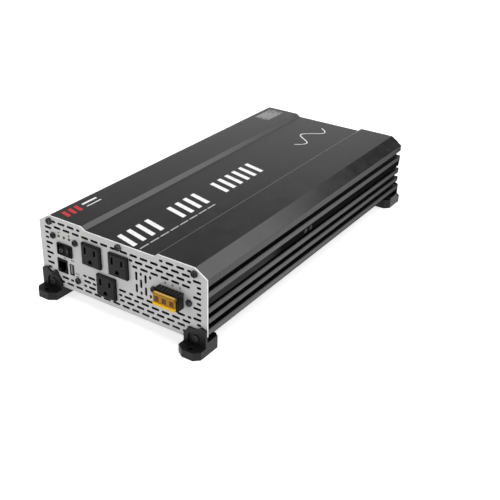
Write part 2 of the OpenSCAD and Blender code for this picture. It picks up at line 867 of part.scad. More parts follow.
// Wire guard: four rings on two crossed wires, with a flat eye at each end.
module fan_guard(s) {
    reach = fan_hole_dx * sqrt(2);
    color("#a9abad") translate([s * fan_x, y_rear + guard_gap, fan_z]) rotate([-90, 0, 0]) {
        translate([0, 0, 1]) {
            for (r = [7, 13, 19, 25]) rotate_extrude()
                translate([r, guard_wire_r * 1.2]) circle(guard_wire_r, $fn = 16);
            for (a = [45, 135]) rotate(a) rotate([0, 90, 0])
                cylinder(h = 2 * reach - 5, r = guard_wire_r, center = true, $fn = 16);
        }
        for (a = [45:90:315]) rotate(a) translate([reach, 0, 0]) difference() {
            cylinder(h = guard_eye_t, r = 3.8);
            translate([0, 0, -1]) cylinder(h = 4, r = 2.2);
        }
    }
}

module fan_guard_left() {
    fan_guard(-1);
}

module fan_guard_right() {
    fan_guard(1);
}

module fan_screws() {
    color("#8d8f92") for (s = [-1, 1], dx = [-1, 1] * fan_hole_dx, dz = [-1, 1] * fan_hole_dx)
        panel_screw(s * fan_x + dx, fan_z + dz, y_rear + guard_gap + guard_eye_t, 1,
            3.4, 2.2, 9, 1.9);
}

// ---------- Battery and ground studs ----------

module stud_base(x, z) {
    difference() {
        union() {
            rod_y(x, z, y_rear, base_t - 1, base_r);
            rod_y(x, z, y_rear + base_t - 1, 1, base_r - 1);
            rod_y(x, z, y_rear - panel_t - 3, panel_t + 3, stud_r + 2.2);
        }
        rod_y(x, z, y_rear - 12, 30, stud_r + 0.4);
    }
}

module stud_bases_positive() {
    color("#b3161c") for (z = stud_zs) stud_base(-stud_x, z);
}

module stud_bases_negative() {
    color("#1a1a1b") for (z = stud_zs) stud_base(stud_x, z);
}

// A stud as plain cylinders: its free end has the thread's outer radius, and the rest, where the
// nut engages, has the radius at the bottom of the thread.
module stud(x, z, y_low, y_neck, y_end, r) {
    rod_y(x, z, y_low, y_neck - y_low, r - neck_d);
    rod_y(x, z, y_neck, y_end - 1 - y_neck, r);
    rod_y(x, z, y_end - 1, 1, r - 0.6);
}

module battery_studs() {
    color("#c09a4b") for (x = [-1, 1] * stud_x, z = stud_zs)
        stud(x, z, y_rear - stud_inside, y_rear + base_t + washer_t + nut_t + 0.2,
            y_rear + stud_reach, stud_r);
}

module stud_washers() {
    color("#c9cbce") for (x = [-1, 1] * stud_x, z = stud_zs)
        difference() {
            rod_y(x, z, y_rear + base_t, washer_t, 8);
            rod_y(x, z, y_rear + base_t - 1, washer_t + 2, stud_r + 0.4);
        }
}

module stud_nuts() {
    color("#c9a04f") for (x = [-1, 1] * stud_x, z = stud_zs)
        translate([x, y_rear + base_t + washer_t, z]) rotate([-90, 0, 0])
            hex_nut(13, nut_t, stud_r - neck_d + 0.05);
}

module ground_stud() {
    color("#c09a4b") stud(ground_at[0], ground_at[1], y_rear - 12,
        y_rear + ground_washer_t + ground_nut_t + 0.2, y_rear + ground_reach, ground_r);
}

module ground_nut() {
    color("#b9bbbe") translate([ground_at[0], y_rear, ground_at[1]]) rotate([-90, 0, 0]) {
        difference() {
            cylinder(h = ground_washer_t, r = 5.6);
            translate([0, 0, -1]) cylinder(h = 4, r = ground_r + 0.4);
        }
        translate([0, 0, ground_washer_t]) hex_nut(10, ground_nut_t, ground_r - neck_d + 0.05);
    }
}

// ---------- Electronics ----------

spacer_places = [for (x = [-84, 84], i = [0:3])
    [x, board_y0 + 10 + i * (board_y1 - board_y0 - 20) / 3]];

module main_board() {
    color("#1f5a35") translate([0, 0, board_z]) linear_extrude(board_t) difference() {
        translate([-board_half_w, board_y0]) square([2 * board_half_w, board_y1 - board_y0]);
        for (at = spacer_places) translate(at) circle(1.7);
    }
}

module board_spacers() {
    color("#b08d45") for (at = spacer_places) translate([at[0], at[1], floor_z])
        difference() {
            cylinder(h = board_z - floor_z, r = 3.2, $fn = 6);
            translate([0, 0, -1]) cylinder(h = 9, r = screw_shank_r + 0.05, $fn = 24);
        }
}

module transformer_cores() {
    l = transformer_size[0];
    w = transformer_size[1];
    h = transformer_size[2];
    color("#3b3b3d") for (y = transformer_ys) translate([0, y, board_top]) difference() {
        translate([-l / 2, -w / 4, 0]) cube([l, w / 2, h]);
        for (s = [-1, 1]) translate([s * l / 3.9 - l / 10, -w, h / 6]) cube([l / 5, 2 * w, h * 2 / 3]);
    }
}

module transformer_windings() {
    l = transformer_size[0];
    w = transformer_size[1];
    h = transformer_size[2];
    color("#a8652b") for (y = transformer_ys) translate([0, y, board_top + h / 6 + 0.3]) difference() {
        translate([-l / 2.85, -w / 2, 0]) cube([l / 1.425, w, h * 2 / 3 - 0.6]);
        translate([-l / 6.2, -w / 4 - 0.2, -1]) cube([l / 3.1, w / 2 + 0.4, h]);
        for (s = [-1, 1]) translate([s * l / 2.6 - l / 34, -w / 4 - 0.3, -1])
            cube([l / 17, w / 2 + 0.6, h]);
    }
}

module input_capacitors() {
    color("#20304f") for (x = [-1, 1], i = [0:3], j = [0:1])
        translate([x * (46 + j * 21), board_y1 - 18 - i * 21, board_top]) cylinder(h = 32, r = 9);
}

module bus_capacitors() {
    color("#262b36") for (x = [-18, 12, 42], j = [0:1])
        translate([x, board_y0 + 18 + j * 29, board_top]) cylinder(h = 42, r = 13);
}

choke_places = [[-58, board_y0 + 28], [-58, board_y0 + 78]];
choke_r = 13;
choke_ring_r = 5;

module choke_cores() {
    color("#c9b83a") for (at = choke_places) translate([at[0], at[1], board_top + choke_ring_r + 2.4])
        rotate_extrude() translate([choke_r, 0]) circle(choke_ring_r, $fn = 32);
}

// Bundles of turns around each ring core.
module choke_windings() {
    bundles = 8;
    arc = 30;
    color("#b5622a") for (at = choke_places, i = [0:bundles - 1])
        translate([at[0], at[1], board_top + choke_ring_r + 2.4]) rotate(i * 360 / bundles)
            rotate_extrude(angle = arc) translate([choke_r, 0]) difference() {
                circle(choke_ring_r + 2, $fn = 32);
                circle(choke_ring_r + 0.1, $fn = 32);
            }
}

module heat_bars() {
    color("#b3b6ba") mirror_x() difference() {
        block([bar_x - bar_t, board_y0 + 6, tray_side_top + 0.5],
            [bar_x, board_y1 - 6, rib_base + 50]);
        for (y = side_screw_ys) translate([bar_x + 1, y, side_screw_z]) rotate([0, -90, 0])
            cylinder(h = 12, r = 1.6, $fn = 24);
    }
}

module transistors() {
    color("#1b1b1c") mirror_x() for (i = [0:9])
        translate([bar_x - bar_t - 5, board_y0 + 20 + i * 31, tray_side_top + 2])
            cube([4.9, 16, 21]);
}

module driver_boards() {
    color("#1f5a35") for (y = [18, -46]) {
        block([-31 - 28, y - 1, board_top], [-31, y + 1, board_top + 38]);
        block([31, y - 1, board_top], [31 + 28, y + 1, board_top + 38]);
    }
}

module bus_bars() {
    color("#b87333") for (s = [-1, 1]) difference() {
        block([s * stud_x - 8, y_rear - stud_inside + 4, board_top],
            [s * stud_x + 8, y_rear - stud_inside + 7, stud_zs[1] + 8]);
        for (z = stud_zs) rod_y(s * stud_x, z, y_rear - 30, 30, stud_r + 0.1);
    }
}

// Three insulated wires from the main board up to the terminal block.
module output_wires() {
    r = 1.8;
    bend = 8;
    back_y = y_front + panel_t + 4.4;
    turn_y = board_y0 + 6;
    color("#b3161c") for (i = [-1:1]) translate([block_at[0] + i * pole_pitch, 0, 0]) {
        rod_y(0, block_at[1], back_y, turn_y - bend - back_y, r);
        translate([0, turn_y - bend, block_at[1] - bend]) rotate([90, 0, 90])
            rotate_extrude(angle = 90) translate([bend, 0]) circle(r, $fn = 24);
        translate([0, turn_y, board_top]) cylinder(h = block_at[1] - bend - board_top, r = r);
    }
}

// ---------- Assembly ----------

housing();
bottom_tray();
front_panel();
rear_panel();
foot_front_left();
foot_front_right();
foot_rear_left();
foot_rear_right();
foot_screws();
front_panel_screws();
rear_panel_screws();
side_screws();
tray_screws();
socket_left();
socket_right();
socket_lower();
socket_tabs();
switch_bezel();
switch_rocker();
switch_tabs();
remote_port();
remote_contacts();
usb_shell();
usb_tongue();
status_lamps();
control_board();
control_spacers();
control_board_screws();
terminal_block();
terminal_cover();
terminal_plates();
terminal_screws();
block_screws();
fan_frame_left();
fan_frame_right();
fan_rotor_left();
fan_rotor_right();
fan_guard_left();
fan_guard_right();
fan_screws();
stud_bases_positive();
stud_bases_negative();
battery_studs();
stud_nuts();
stud_washers();
ground_stud();
ground_nut();
main_board();
board_spacers();
transformer_cores();
transformer_windings();
input_capacitors();
bus_capacitors();
choke_windings();
choke_cores();
heat_bars();
transistors();
driver_boards();
bus_bars();
output_wires();
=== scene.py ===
"""Looks of the power inverter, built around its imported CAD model."""

import json
import math

import bmesh
import bpy
from mathutils import Matrix, Vector


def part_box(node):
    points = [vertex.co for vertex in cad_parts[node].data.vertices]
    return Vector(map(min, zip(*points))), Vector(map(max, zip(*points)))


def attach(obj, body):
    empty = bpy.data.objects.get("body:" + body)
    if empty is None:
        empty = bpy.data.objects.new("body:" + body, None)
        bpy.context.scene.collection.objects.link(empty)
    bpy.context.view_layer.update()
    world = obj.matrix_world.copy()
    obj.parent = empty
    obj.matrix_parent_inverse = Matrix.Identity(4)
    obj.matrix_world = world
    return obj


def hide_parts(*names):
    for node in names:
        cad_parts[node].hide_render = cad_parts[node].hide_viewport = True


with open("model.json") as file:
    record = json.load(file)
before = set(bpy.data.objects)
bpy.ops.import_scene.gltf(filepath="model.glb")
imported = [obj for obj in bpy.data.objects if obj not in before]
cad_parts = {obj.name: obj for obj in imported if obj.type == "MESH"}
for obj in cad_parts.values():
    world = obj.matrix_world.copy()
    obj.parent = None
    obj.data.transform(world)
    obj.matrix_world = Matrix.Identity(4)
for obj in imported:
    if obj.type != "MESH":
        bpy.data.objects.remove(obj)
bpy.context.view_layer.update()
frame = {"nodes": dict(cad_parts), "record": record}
nodes = frame["nodes"]
node_slot = {s["node"]: s["material_slot"] for s in frame["record"]["subparts"]}

MM = 0.001
FRONT_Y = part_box("front_panel")[0].y
REAR_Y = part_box("rear_panel")[1].y
TOP_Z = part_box("housing")[1].z
RIB_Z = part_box("housing")[0].z
TRAY_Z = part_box("bottom_tray")[0].z

# Housing: the channel and its slopes on top, the grooves, rib faces and lip at the sides,
# where light and shade are painted on the coating.
CHANNEL_Z = TOP_Z - 3.5 * MM
CHANNEL_IN, CHANNEL_OUT = 45.2 * MM, 50.4 * MM
GROOVE_X, GROOVE_TOP_Z, LAND_X = 103 * MM, TOP_Z - 14 * MM, 108.8 * MM
LIP_TOP_Z, LIP_LOW_Z = TOP_Z - 8.9 * MM, TOP_Z - 18 * MM

# Where the painted light on the rib faces starts to fade and where they start to lose gloss,
# on the way to the rear panel; the coating's full gloss; and the gloss lost by the channel's
# slopes, the rib faces (at the front and at the rear) and the faces that slope in under the
# ribs.
FADE_FROM_Y, DULL_FROM_Y = -0.08, -0.12
GLOSS, SLOPE_LOSS, FACE_LOSS, UNDER_LOSS = 0.5, 0.26, (0.28, 0.47), 0.20

# Front panel: half widths over the body and the tray, and the line of the upper bevel.
PANEL_HALF, TRAY_HALF = 109.2 * MM, 101.0 * MM
BEVEL_SLOPE, BEVEL_REACH = 9 / 14.8, 151.2 * MM
# Across the USB port's mouth, where shade is painted on the plated shell.
USB_XS = (-71 * MM, -63 * MM)

# Terminal cover: top of its lip, foot of its hinge edge, and the windows over the poles, which
# bound its painted light and shade.
COVER_LIP_Z, COVER_HINGE_Z = 48.6 * MM, 58.7 * MM
POLE_XS = (57.3 * MM, 66.5 * MM, 75.7 * MM)
WINDOW_HALF, WINDOW_ZS = 2.7 * MM, (49.6 * MM, 55.6 * MM)


# ---------- Materials ----------

EDGE_SAMPLES, EDGE_STRENGTH = 4, 6.0


class Nodes:
    """Short names for building one material's node tree."""

    def __init__(self, name):
        self.material = bpy.data.materials.new(name)
        self.material.use_nodes = True
        self.tree = self.material.node_tree
        self.shader = self.tree.nodes["Principled BSDF"]
        self.coords = self.add("ShaderNodeTexCoord").outputs["Object"]

    def add(self, kind, **values):
        node = self.tree.nodes.new(kind)
        for key, value in values.items():
            setattr(node, key, value)
        return node

    def link(self, source, target):
        self.tree.links.new(source, target)

    def feed(self, socket, value):
        """Gives a socket a link or a constant."""
        if isinstance(value, bpy.types.NodeSocket):
            self.link(value, socket)
        else:
            socket.default_value = value

    def noise(self, size, detail=3.0, rough=0.55, stretch=(1, 1, 1)):
        """Noise whose blotches are about size metres across, from 0 to 1."""
        mapping = self.add("ShaderNodeMapping")
        mapping.inputs["Scale"].default_value = stretch
        self.link(self.coords, mapping.inputs["Vector"])
        node = self.add("ShaderNodeTexNoise")
        node.inputs["Scale"].default_value = 1 / size
        node.inputs["Detail"].default_value = detail
        node.inputs["Roughness"].default_value = rough
        self.link(mapping.outputs["Vector"], node.inputs["Vector"])
        return node.outputs["Fac"]

    def ranged(self, value, low, high, new_low=0.0, new_high=1.0):
        """value, moved from the range low to high into new_low to new_high, and held there."""
        node = self.add("ShaderNodeMapRange")
        for key, v in zip(("Value", "From Min", "From Max", "To Min", "To Max"),
                          (value, low, high, new_low, new_high)):
            self.feed(node.inputs[key], v)
        return node.outputs["Result"]

    def math(self, operation, a, b=0.0, clamp=False):
        node = self.add("ShaderNodeMath", operation=operation, use_clamp=clamp)
        self.feed(node.inputs[0], a)
        self.feed(node.inputs[1], b)
        return node.outputs[0]

    def mix(self, factor, a, b):
        node = self.add("ShaderNodeMix", data_type="RGBA")
        self.feed(node.inputs["Factor"], factor)
        for key, colour in (("A", a), ("B", b)):
            socket = next(s for s in node.inputs if s.name == key and s.type == "RGBA")
            linked = isinstance(colour, bpy.types.NodeSocket)
            self.feed(socket, colour if linked else (*colour, 1))
        return next(s for s in node.outputs if s.type == "RGBA")

    def edges(self, radius):
        """1 on edges and corners, 0 on flat faces."""
        bevel = self.add("ShaderNodeBevel", samples=EDGE_SAMPLES)
        bevel.inputs["Radius"].default_value = radius
        dot = self.add("ShaderNodeVectorMath", operation="DOT_PRODUCT")
        self.link(bevel.outputs["Normal"], dot.inputs[0])
        self.link(self.add("ShaderNodeNewGeometry").outputs["True Normal"], dot.inputs[1])
        away = self.math("SUBTRACT", 1.0, dot.outputs["Value"])
        return self.math("MULTIPLY", away, EDGE_STRENGTH, clamp=True)

    def bump(self, height, distance):
        node = self.add("ShaderNodeBump")
        node.inputs["Distance"].default_value = distance
        self.link(height, node.inputs["Height"])
        self.link(node.outputs["Normal"], self.shader.inputs["Normal"])

    def axis(self, name):
        """The object's own X, Y or Z in metres."""
        if not hasattr(self, "_xyz"):
            self._xyz = self.add("ShaderNodeSeparateXYZ")
            self.link(self.coords, self._xyz.inputs[0])
        return self._xyz.outputs[name]

    def facing(self, axis):
        """How squarely the face looks along an axis, from 0 to 1, either way."""
        if not hasattr(self, "_normal"):
            self._normal = self.add("ShaderNodeSeparateXYZ")
            self.link(self.add("ShaderNodeNewGeometry").outputs["True Normal"],
                      self._normal.inputs[0])
        return self.math("ABSOLUTE", self._normal.outputs[axis])

    def paint_lighting(self, mask, colour):
        """Paints colour over the base colour where mask is 1; this script paints light and
        shade with it.
        """
        base = self.shader.inputs["Base Color"]
        under = base.links[0].from_socket
        self.link(self.mix(mask, under, colour), base)

    def between(self, value, low, high):
        """1 where value lies between low and high."""
        return self.math("MULTIPLY", self.math("GREATER_THAN", value, low),
                         self.math("LESS_THAN", value, high))


def shaded(name, colour, rough, metal=0.0, specular=0.5, grain=0.4 * MM, depth=0.02 * MM,
           blotch=0.12, rough_spread=0.06, wear_and_glint=None, wear_and_glint_radius=0.35 * MM,
           stretch=(1, 1, 1)):
    """A material with grain, blotches of colour and gloss, and paler edges, partly rubbed and
    partly painted highlight where the edges catch light. The wear argument gives the share and
    the colour of these paler edges."""
    n = Nodes(name)
    b = n.shader
    b.inputs["Metallic"].default_value = metal
    b.inputs["Specular IOR Level"].default_value = specular
    broad = n.noise(38 * MM, 4.0)
    fine = n.noise(grain, 2.0, stretch=stretch)
    dark = tuple(c * (1 - blotch) for c in colour)
    light = tuple(min(1.0, c * (1 + blotch)) for c in colour)
    base = n.mix(n.ranged(broad, 0.3, 0.7), dark, light)
    pits = tuple(c * 0.8 for c in colour)
    base = n.mix(n.ranged(fine, 0.25, 0.75, 0.0, 0.35), base, pits)
    # Paler edges: partly rubbed, partly painted highlight and glints.
    if wear_and_glint:
        share, worn_and_lit = wear_and_glint
        scuff_and_glint_patches = n.ranged(n.noise(6 * MM, 5.0), 0.35, 0.65, 0.35, 1.0)
        mask = n.math("MULTIPLY", n.edges(wear_and_glint_radius), scuff_and_glint_patches)
        base = n.mix(n.math("MULTIPLY", mask, share), base, worn_and_lit)
    n.link(base, b.inputs["Base Color"])
    smudge = n.noise(17 * MM, 5.0, 0.6)
    n.link(n.ranged(smudge, 0.3, 0.7, rough - rough_spread, rough + rough_spread),
           b.inputs["Roughness"])
    n.bump(fine, depth)
    return n


def rubbed_and_lit_edge(colour, times):
    """A lighter shade of a dark colour for its edges, partly rubbed and partly painted
    highlight where the edges catch light.
    """
    return tuple(min(1.0, c * times + 0.004) for c in colour)


def make_materials():
    """One material for each slot of the CAD nodes, under the slot's name."""
    made = {}

    def keep(slot, n):
        made[slot] = n.material
        return n

    charcoal = (0.0085, 0.0087, 0.0092)
    # The coating's paler edges are partly rubbed, partly a painted highlight.
    coating = keep("anodised_black", shaded("charcoal_coating", charcoal, 0.23,
                   grain=0.30 * MM, depth=0.010 * MM, blotch=0.10, rough_spread=0.035,
                   wear_and_glint=(0.5, rubbed_and_lit_edge(charcoal, 3.2)), stretch=(1, 0.35, 1)))
    # Painted light and shade on the housing coating.
    paint_housing_lighting(coating)
    keep("tray_paint", shaded("tray_paint", (0.008, 0.008, 0.0085), 0.5, specular=0.15,
         depth=0.02 * MM, wear_and_glint=(0.4, (0.05, 0.05, 0.05))))
    # The panel's paler edges are partly rubbed, partly a painted highlight.
    coat = keep("panel_silver", shaded("panel_powder_coat", (0.44, 0.44, 0.437), 0.42,
                grain=0.42 * MM, depth=0.05 * MM, blotch=0.05, wear_and_glint=(0.6, (0.85, 0.85, 0.85))))
    # Painted shade in the slots and holes, painted highlight on the panel's outer edge.
    paint_slot_wall_lighting(coat)
    keep("panel_dark", shaded("panel_dark_coat", (0.026, 0.027, 0.029), 0.45, grain=0.4 * MM,
         depth=0.04 * MM, wear_and_glint=(0.5, (0.11, 0.11, 0.115))))
    foot = (0.0065, 0.0066, 0.007)
    # The feet's paler edges are partly rubbed, partly a painted highlight.
    keep("foot_plastic", shaded("foot_plastic", foot, 0.40, specular=0.22, grain=0.5 * MM,
         depth=0.05 * MM, wear_and_glint=(0.5, rubbed_and_lit_edge(foot, 4.0))))
    # The black screws' bright edges are partly worn plating at the recess edges, partly
    # painted glints.
    keep("black_screw", shaded("black_zinc", (0.004, 0.004, 0.0045), 0.14,
         specular=0.06, depth=0.006 * MM, wear_and_glint=(0.9, (0.5, 0.5, 0.5)),
         wear_and_glint_radius=0.2 * MM))
    keep("plain_screw", shaded("zinc_plate", (0.50, 0.50, 0.49), 0.28, metal=1.0,
         depth=0.008 * MM, wear_and_glint=(0.4, (0.75, 0.75, 0.74))))
    # The sockets' paler edges are partly rubbed, partly a painted highlight.
    keep("socket_plastic", shaded("socket_plastic", (0.004, 0.0041, 0.0044), 0.30,
         specular=0.15, grain=0.35 * MM, depth=0.014 * MM, wear_and_glint=(0.6, (0.06, 0.061, 0.064))))
    keep("switch_plastic", shaded("switch_plastic", (0.003, 0.003, 0.0033), 0.24,
         specular=0.06, depth=0.008 * MM, wear_and_glint=(0.4, (0.012, 0.012, 0.013)),
         wear_and_glint_radius=0.15 * MM))
    keep("port_plastic", shaded("port_plastic", (0.003, 0.003, 0.0032), 0.34,
         specular=0.07, depth=0.01 * MM, wear_and_glint=(0.4, (0.012, 0.012, 0.012)),
         wear_and_glint_radius=0.15 * MM))
    keep("brass_parts", shaded("brass", (0.62, 0.43, 0.16), 0.27, metal=1.0,
         depth=0.008 * MM, wear_and_glint=(0.5, (0.85, 0.68, 0.36))))
    plate = keep("plated_shell", shaded("nickel_plate", (0.60, 0.60, 0.60), 0.25, metal=1.0,
                 depth=0.006 * MM, wear_and_glint=(0.4, (0.85, 0.85, 0.85))))
    # Painted shade: the plated shell is painted dark across the port's mouth.
    plate.paint_lighting(plate.between(plate.axis("X"), *USB_XS), (0.07, 0.07, 0.07))
    keep("tongue_plastic", shaded("tongue_plastic", (0.24, 0.24, 0.235), 0.4,
         depth=0.01 * MM))
    keep("block_plastic", shaded("block_plastic", (0.006, 0.0055, 0.005), 0.34, specular=0.2,
         depth=0.015 * MM, wear_and_glint=(0.6, (0.05, 0.045, 0.04))))
    keep("fan_plastic", shaded("fan_plastic", (0.012, 0.012, 0.0135), 0.42, depth=0.02 * MM,
         wear_and_glint=(0.5, (0.05, 0.05, 0.055))))
    keep("guard_wire", shaded("guard_wire", (0.62, 0.62, 0.62), 0.2, metal=1.0,
         depth=0.004 * MM))
    keep("red_plastic", shaded("red_plastic", (0.42, 0.012, 0.015), 0.32, depth=0.012 * MM,
         wear_and_glint=(0.4, (0.7, 0.09, 0.08))))
    keep("black_plastic", shaded("black_plastic", (0.012, 0.012, 0.013), 0.32,
         depth=0.012 * MM, wear_and_glint=(0.5, (0.06, 0.06, 0.06))))
    keep("ferrite", shaded("ferrite", (0.035, 0.035, 0.038), 0.6, grain=0.8 * MM,
         depth=0.05 * MM, wear_and_glint=(0.5, (0.10, 0.10, 0.10))))
    keep("can_sleeve", shaded("can_sleeve", (0.008, 0.012, 0.032), 0.4, specular=0.2,
         depth=0.01 * MM, wear_and_glint=(0.4, (0.10, 0.10, 0.12))))
    keep("powder_core", shaded("powder_core", (0.22, 0.18, 0.03), 0.45, depth=0.02 * MM))
    keep("heat_bar", shaded("heat_bar", (0.12, 0.12, 0.125), 0.36, metal=1.0,
         grain=0.5 * MM, depth=0.01 * MM, stretch=(1, 0.03, 1), wear_and_glint=(0.4, (0.3, 0.3, 0.3))))
    keep("chip_plastic", shaded("chip_plastic", (0.014, 0.014, 0.014), 0.55, depth=0.02 * MM,
         wear_and_glint=(0.4, (0.06, 0.06, 0.06))))
    keep("copper_bar", shaded("copper_bar", (0.72, 0.33, 0.17), 0.3, metal=1.0,
         depth=0.008 * MM, wear_and_glint=(0.4, (0.9, 0.55, 0.35))))
    keep("wire_sleeve", shaded("wire_sleeve", (0.05, 0.003, 0.004), 0.5, depth=0.01 * MM))
    keep("circuit_board", board_material())
    keep("copper_winding", winding_material())
    keep("lamp_lens", lens_material("lamp_lens", (0.10, 0.13, 0.05), 0.4, 0.16))
    cover = keep("amber_cover", lens_material("amber_cover", (0.36, 0.175, 0.003), 0.8, 0.10))
    # Painted light and shade on the amber cover.
    paint_cover_lighting(cover)
    return made


def paint_housing_lighting(n):
    """Painted light and shade on the one coating: the slopes beside the channel are painted
    paler as a painted reflection; the grooves and level faces at the sides get painted shade,
    near black; the lip gets painted shade; the satin rib faces catch less gloss and are
    painted lighter at the front, a painted light that fades towards the rear. The faces that
    slope in under the ribs get darker painted shade again."""
    across = n.math("ABSOLUTE", n.axis("X"))
    height = n.axis("Z")
    slopes = n.math("MULTIPLY", n.between(across, CHANNEL_IN, CHANNEL_OUT),
                    n.math("GREATER_THAN", height, CHANNEL_Z + 0.02 * MM))
    # Painted reflection: the channel's slopes are painted paler than the coating.
    n.paint_lighting(slopes, (0.070, 0.070, 0.072))
    lands = n.math("MULTIPLY", n.math("GREATER_THAN", across, LAND_X),
                   n.math("LESS_THAN", height, LIP_TOP_Z))
    # Painted light: the rib faces are painted lighter at the front, fading to the plain
    # coating at the rear.
    fade = n.ranged(n.axis("Y"), FADE_FROM_Y, REAR_Y, 1.0, 0.0)
    n.paint_lighting(n.math("MULTIPLY", lands, fade), (0.050, 0.050, 0.052))
    # Painted shade: the lip is painted darker.
    lip = n.math("MULTIPLY", lands, n.math("GREATER_THAN", height, LIP_LOW_Z))
    n.paint_lighting(n.math("MULTIPLY", lip, 0.6), (0.004, 0.004, 0.004))
    # Painted shade: the grooves and the level faces at the sides are painted near black.
    level = n.math("GREATER_THAN", n.facing("Z"), 0.9)
    recessed = n.math("MAXIMUM", n.between(across, GROOVE_X, LAND_X),
                      n.math("MULTIPLY", level, n.math("GREATER_THAN", across, GROOVE_X)))
    n.paint_lighting(n.math("MULTIPLY", recessed, n.math("LESS_THAN", height, GROOVE_TOP_Z)),
           (0.002, 0.002, 0.002))
    # Painted shade: the faces that slope in under the ribs are painted darker again.
    under = n.math("MULTIPLY", lands, n.between(n.facing("Z"), 0.05, 0.5))
    n.paint_lighting(under, (0.006, 0.006, 0.0062))
    dulled = n.math("ADD", n.ranged(n.axis("Y"), DULL_FROM_Y, REAR_Y, *FACE_LOSS),
                    n.math("MULTIPLY", under, UNDER_LOSS))
    satin = n.math("SUBTRACT", GLOSS, n.math("MULTIPLY", lands, dulled))
    n.link(n.math("SUBTRACT", satin, n.math("MULTIPLY", slopes, SLOPE_LOSS)),
           n.shader.inputs["Specular IOR Level"])


def paint_slot_wall_lighting(n):
    """Painted shade on the walls of slots and holes; painted highlight on the outer edge."""
    walls = n.math("LESS_THAN", n.facing("Y"), 0.5)
    across = n.math("ABSOLUTE", n.axis("X"))
    height = n.axis("Z")
    rim = 0.6 * MM
    bevel_line = n.math("ADD", height, n.math("MULTIPLY", across, BEVEL_SLOPE))
    over_body = n.math("MULTIPLY", n.math("LESS_THAN", across, PANEL_HALF),
                       n.between(height, RIB_Z + rim, CHANNEL_Z - rim / 2))
    over_tray = n.math("MULTIPLY", n.math("LESS_THAN", across, TRAY_HALF),
                       n.between(height, TRAY_Z + rim, RIB_Z + 2 * MM))
    inside = n.math("MULTIPLY", n.math("MAXIMUM", over_body, over_tray),
                    n.math("LESS_THAN", bevel_line, BEVEL_REACH))
    # Painted highlight: every wall, the panel's outer edge among them, is painted pale.
    n.paint_lighting(walls, (0.85, 0.85, 0.85))
    # Painted shade: the walls inside the panel's outline are painted near black.
    n.paint_lighting(n.math("MULTIPLY", walls, inside), (0.003, 0.003, 0.003))


def paint_cover_lighting(n):
    """Painted shade: three dark windows over the poles. Painted light: a bright thick lower
    lip that glows faintly, and a pale upper edge as a painted highlight."""
    across, height = n.axis("X"), n.axis("Z")
    poles = [n.between(across, x - WINDOW_HALF, x + WINDOW_HALF) for x in POLE_XS]
    over_poles = n.math("MAXIMUM", n.math("MAXIMUM", poles[0], poles[1]), poles[2])
    windows = n.math("MULTIPLY", over_poles, n.between(height, *WINDOW_ZS))
    lip = n.math("LESS_THAN", height, COVER_LIP_Z)
    hinge = n.math("GREATER_THAN", height, COVER_HINGE_Z)
    # Painted shade: the windows over the poles are painted dark.
    n.paint_lighting(windows, (0.10, 0.028, 0.002))
    # Painted light: the lower lip is painted bright amber.
    n.paint_lighting(lip, (0.72, 0.42, 0.006))
    # Painted highlight: the hinge edge is painted pale.
    n.paint_lighting(hinge, (0.70, 0.44, 0.12))
    # Painted glow: the whole cover glows faintly, the lip more, though it is no lamp.
    n.link(n.ranged(lip, 0.0, 1.0, 0.02, 0.10), n.shader.inputs["Emission Strength"])
    n.link(n.ranged(windows, 0.0, 1.0, 0.12, 0.2), n.shader.inputs["Transmission Weight"])
    n.shader.inputs["Specular IOR Level"].default_value = 0.12


def board_material():
    """Green solder mask with faint rows of traces."""
    n = Nodes("solder_mask")
    b = n.shader
    cells = n.add("ShaderNodeTexBrick")
    cells.inputs["Scale"].default_value = 1 / (6 * MM)
    cells.inputs["Mortar Size"].default_value = 0.06
    n.link(n.coords, cells.inputs["Vector"])
    cells.inputs["Color1"].default_value = (0.012, 0.085, 0.035, 1)
    cells.inputs["Color2"].default_value = (0.010, 0.070, 0.030, 1)
    cells.inputs["Mortar"].default_value = (0.020, 0.120, 0.050, 1)
    n.link(n.mix(n.ranged(n.noise(12 * MM), 0.3, 0.7, 0.0, 0.5), cells.outputs["Color"],
                 (0.008, 0.055, 0.022)), b.inputs["Base Color"])
    n.link(n.ranged(n.noise(9 * MM), 0.3, 0.7, 0.25, 0.4), b.inputs["Roughness"])
    n.bump(cells.outputs["Fac"], 0.03 * MM)
    return n


def winding_material():
    """Enamelled copper turns, side by side."""
    n = Nodes("enamelled_wire")
    b = n.shader
    wave = n.add("ShaderNodeTexWave", bands_direction="Y")
    wave.inputs["Scale"].default_value = 1 / (2.6 * MM)
    wave.inputs["Distortion"].default_value = 0.6
    n.link(n.coords, wave.inputs["Vector"])
    n.link(n.mix(wave.outputs["Fac"], (0.22, 0.07, 0.02), (0.62, 0.26, 0.09)),
           b.inputs["Base Color"])
    b.inputs["Metallic"].default_value = 0.55
    n.link(n.ranged(n.noise(5 * MM), 0.3, 0.7, 0.28, 0.42), b.inputs["Roughness"])
    n.bump(wave.outputs["Fac"], 0.2 * MM)
    return n


def lens_material(name, colour, clearness, rough):
    """Tinted clear plastic with faint flow marks."""
    n = Nodes(name)
    b = n.shader
    b.inputs["Transmission Weight"].default_value = clearness
    b.inputs["IOR"].default_value = 1.46
    b.inputs["Emission Color"].default_value = (*colour, 1)
    deeper = tuple(c * 0.9 for c in colour)
    n.link(n.mix(n.ranged(n.noise(9 * MM), 0.3, 0.7), colour, deeper),
           b.inputs["Base Color"])
    n.link(n.ranged(n.noise(4 * MM), 0.3, 0.7, rough - 0.03, rough + 0.05),
           b.inputs["Roughness"])
    n.bump(n.noise(1.5 * MM), 0.01 * MM)
    return n


materials = make_materials()
for name, obj in nodes.items():
    obj.data.materials.clear()
    obj.data.materials.append(materials[node_slot[name]])


# ---------- Rounded edges ----------

WELD_WITHIN = 0.002 * MM
SHARP_ANGLE = math.radians(28)


